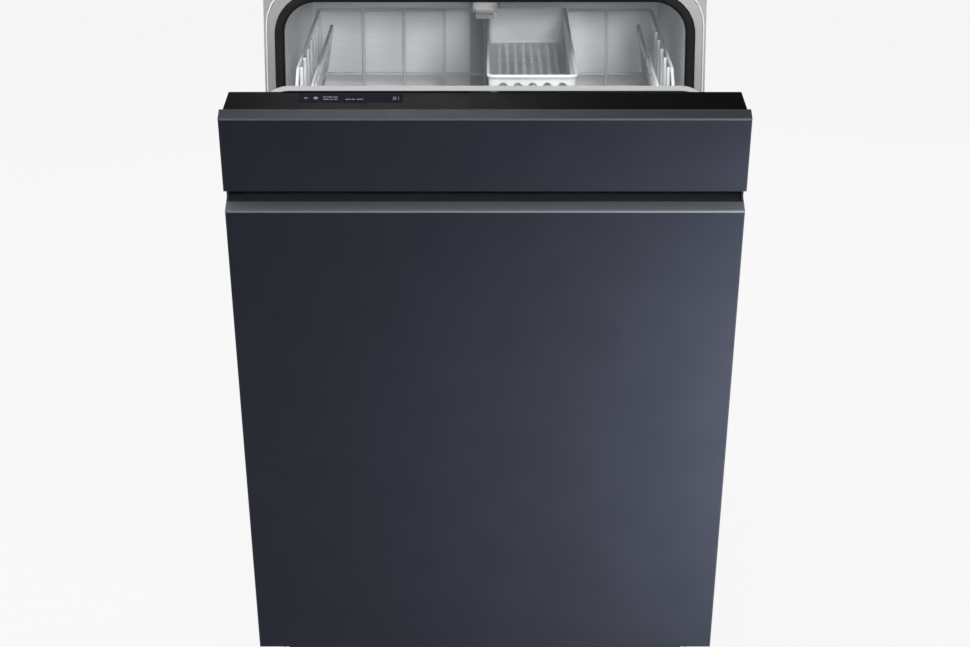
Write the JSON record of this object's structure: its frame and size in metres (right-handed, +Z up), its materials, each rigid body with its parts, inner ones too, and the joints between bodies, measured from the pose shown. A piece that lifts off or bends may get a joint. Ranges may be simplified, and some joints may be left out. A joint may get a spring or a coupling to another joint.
{
  "type": "dishwasher",
  "caption": "Built-in dishwasher with a drop-down door, a full-width grip gap, a top control strip, wire racks on runners and spray arms.",
  "frame": {"origin": "middle of the bounding box at floor level, in the rest pose with the door 22 degrees open", "axes": "+X to the right seen from the front, +Y to the back, +Z up; the door faces -Y"},
  "size_m": [0.546, 0.83, 0.876],
  "materials": {
    "front_lacquer": "satin",
    "control_black": "gloss",
    "display_glass": "gloss",
    "stainless": "brushed",
    "galvanised": "satin",
    "seal_rubber": "matte",
    "base_plastic": "matte",
    "pump_plastic": "matte",
    "white_plastic": "satin",
    "grey_plastic": "satin",
    "filter_steel": "satin",
    "rack_coating": "satin"
  },
  "bodies": {
    "cabinet": {"tub_shell": "stainless", "tub_frame": "stainless", "tub_seal": "seal_rubber", "tub_sill": "galvanised", "left_side_panel": "galvanised", "right_side_panel": "galvanised", "rear_panel": "galvanised", "top_cover": "galvanised", "base_pan": "base_plastic", "toe_kick": "base_plastic", "hinge_brackets": "galvanised", "hinge_pins": "galvanised", "door_striker": "galvanised", "sump": "base_plastic", "fine_filter": "filter_steel", "circulation_pump": "pump_plastic", "drain_pump": "pump_plastic", "water_softener": "white_plastic", "water_inlet_valve": "pump_plastic", "drain_spigot": "white_plastic", "mains_gland": "base_plastic", "feed_duct": "grey_plastic", "lower_arm_post": "grey_plastic", "upper_rail_outer": "galvanised", "lower_rack_rails": "stainless"},
    "door": {"lower_front_panel": "front_lacquer", "upper_front_panel": "front_lacquer", "grip_channel": "front_lacquer", "control_fascia": "control_black", "display_window": "display_glass", "door_shell": "galvanised", "inner_liner": "stainless", "door_lock": "base_plastic", "dispenser_housing": "grey_plastic", "hinge_arms": "galvanised"},
    "dispenser_flap": {"dispenser_lid": "grey_plastic"},
    "rinse_aid_plug": {"rinse_aid_cap": "grey_plastic"},
    "filter_basket": {"coarse_filter": "grey_plastic"},
    "salt_lid": {"salt_cap": "grey_plastic"},
    "lower_arm": {"lower_spray_arm": "grey_plastic"},
    "ceiling_arm": {"ceiling_spray_arm": "grey_plastic"},
    "upper_rack": {"upper_rack_basket": "rack_coating", "upper_rail_inner": "galvanised", "upper_feed_tube": "grey_plastic"},
    "rail_middle": {"upper_rail_middle": "galvanised"},
    "upper_arm": {"upper_spray_arm": "grey_plastic"},
    "cutlery_tray_body": {"cutlery_tray": "white_plastic"},
    "shelf_left": {"cup_shelf_left": "rack_coating"},
    "shelf_right": {"cup_shelf_right": "rack_coating"},
    "lower_rack": {"lower_rack_basket": "rack_coating", "wheel_carriers": "grey_plastic", "lower_rack_handle": "grey_plastic"},
    "wheels_front": {"front_wheels": "grey_plastic"},
    "wheels_rear": {"rear_wheels": "grey_plastic"},
    "tines_outer": {"folding_tines_outer": "rack_coating"},
    "tines_inner": {"folding_tines_inner": "rack_coating"},
    "foot_front_left_body": {"foot_front_left": "base_plastic"},
    "foot_front_right_body": {"foot_front_right": "base_plastic"},
    "foot_rear_body": {"foot_rear": "base_plastic"}
  },
  "joints": [
    {"name": "door_hinge", "type": "hinge", "parent": "cabinet", "child": "door", "pos_m": [0, -0.11998, 0.15], "axis": [1, 0, 0], "range_deg": [-22, 68]},
    {"name": "upper_rack_slide", "type": "slide", "parent": "cabinet", "child": "upper_rack", "axis": [0, -1, 0], "range_m": [-0.10561, 0.32641]},
    {"name": "rail_middle_slide", "type": "slide", "parent": "cabinet", "child": "rail_middle", "axis": [0, -1, 0], "range_m": [-0.05281, 0.16321]},
    {"name": "lower_rack_slide", "type": "slide", "parent": "cabinet", "child": "lower_rack", "axis": [0, -1, 0], "range_m": [-0.02641, 0.08161]},
    {"name": "front_wheel_roll", "type": "hinge", "parent": "lower_rack", "child": "wheels_front", "pos_m": [0, -0.03438, 0.1943], "axis": [1, 0, 0], "range_deg": [-84.2, 259.9]},
    {"name": "rear_wheel_roll", "type": "hinge", "parent": "lower_rack", "child": "wheels_rear", "pos_m": [0, 0.28362, 0.1943], "axis": [1, 0, 0], "range_deg": [-84.2, 259.9]},
    {"name": "lower_arm_spin", "type": "hinge", "parent": "cabinet", "child": "lower_arm", "pos_m": [0, 0.16002, 0.1833], "axis": [0, 0, 1], "continuous": true},
    {"name": "ceiling_arm_spin", "type": "hinge", "parent": "cabinet", "child": "ceiling_arm", "pos_m": [0, 0.16002, 0.832], "axis": [0, 0, 1], "continuous": true},
    {"name": "upper_arm_spin", "type": "hinge", "parent": "upper_rack", "child": "upper_arm", "pos_m": [0, 0.05442, 0.5637], "axis": [0, 0, 1], "continuous": true},
    {"name": "dispenser_flap_hinge", "type": "hinge", "parent": "door", "child": "dispenser_flap", "pos_m": [0.042, -0.21194, 0.45582], "axis": [-1, 0, 0], "range_deg": [0, 95]},
    {"name": "rinse_aid_turn", "type": "hinge", "parent": "door", "child": "rinse_aid_plug", "pos_m": [0.113, -0.23822, 0.51207], "axis": [0, 0.9272, 0.3746], "range_deg": [0, 90]},
    {"name": "filter_twist", "type": "hinge", "parent": "cabinet", "child": "filter_basket", "pos_m": [0, 0.06502, 0.12], "axis": [0, 0, 1], "range_deg": [0, 60]},
    {"name": "salt_cap_turn", "type": "hinge", "parent": "cabinet", "child": "salt_lid", "pos_m": [-0.16, 0.31002, 0.165], "axis": [0, 0, 1], "range_deg": [0, 270]},
    {"name": "cutlery_tray_lift", "type": "slide", "parent": "upper_rack", "child": "cutlery_tray_body", "axis": [0, 0, 1], "range_m": [0, 0.025]},
    {"name": "left_shelf_fold", "type": "hinge", "parent": "upper_rack", "child": "shelf_left", "pos_m": [-0.2037, 0.04442, 0.6975], "axis": [0, 1, 0], "range_deg": [0, 80]},
    {"name": "right_shelf_fold", "type": "hinge", "parent": "upper_rack", "child": "shelf_right", "pos_m": [0.2037, 0.04442, 0.6975], "axis": [0, -1, 0], "range_deg": [0, 80]},
    {"name": "outer_tines_fold", "type": "hinge", "parent": "lower_rack", "child": "tines_outer", "pos_m": [-0.14775, 0.12362, 0.2154], "axis": [0, 1, 0], "range_deg": [0, 75]},
    {"name": "inner_tines_fold", "type": "hinge", "parent": "lower_rack", "child": "tines_inner", "pos_m": [-0.04925, 0.12362, 0.2154], "axis": [0, 1, 0], "range_deg": [0, 75]},
    {"name": "foot_front_left_screw", "type": "slide", "parent": "cabinet", "child": "foot_front_left_body", "axis": [0, 0, -1], "range_m": [0, 0.03]},
    {"name": "foot_front_right_screw", "type": "slide", "parent": "cabinet", "child": "foot_front_right_body", "axis": [0, 0, -1], "range_m": [0, 0.03]},
    {"name": "foot_rear_screw", "type": "slide", "parent": "cabinet", "child": "foot_rear_body", "axis": [0, 0, -1], "range_m": [0, 0.03]}
  ],
  "couplings": [
    {"joint": "upper_rack_slide", "follows": "door_hinge", "m_per_rad": 0.27502},
    {"joint": "rail_middle_slide", "follows": "door_hinge", "m_per_rad": 0.13751},
    {"joint": "lower_rack_slide", "follows": "door_hinge", "m_per_rad": 0.068755},
    {"joint": "front_wheel_roll", "follows": "door_hinge", "ratio": 3.8197},
    {"joint": "rear_wheel_roll", "follows": "door_hinge", "ratio": 3.8197}
  ]
}
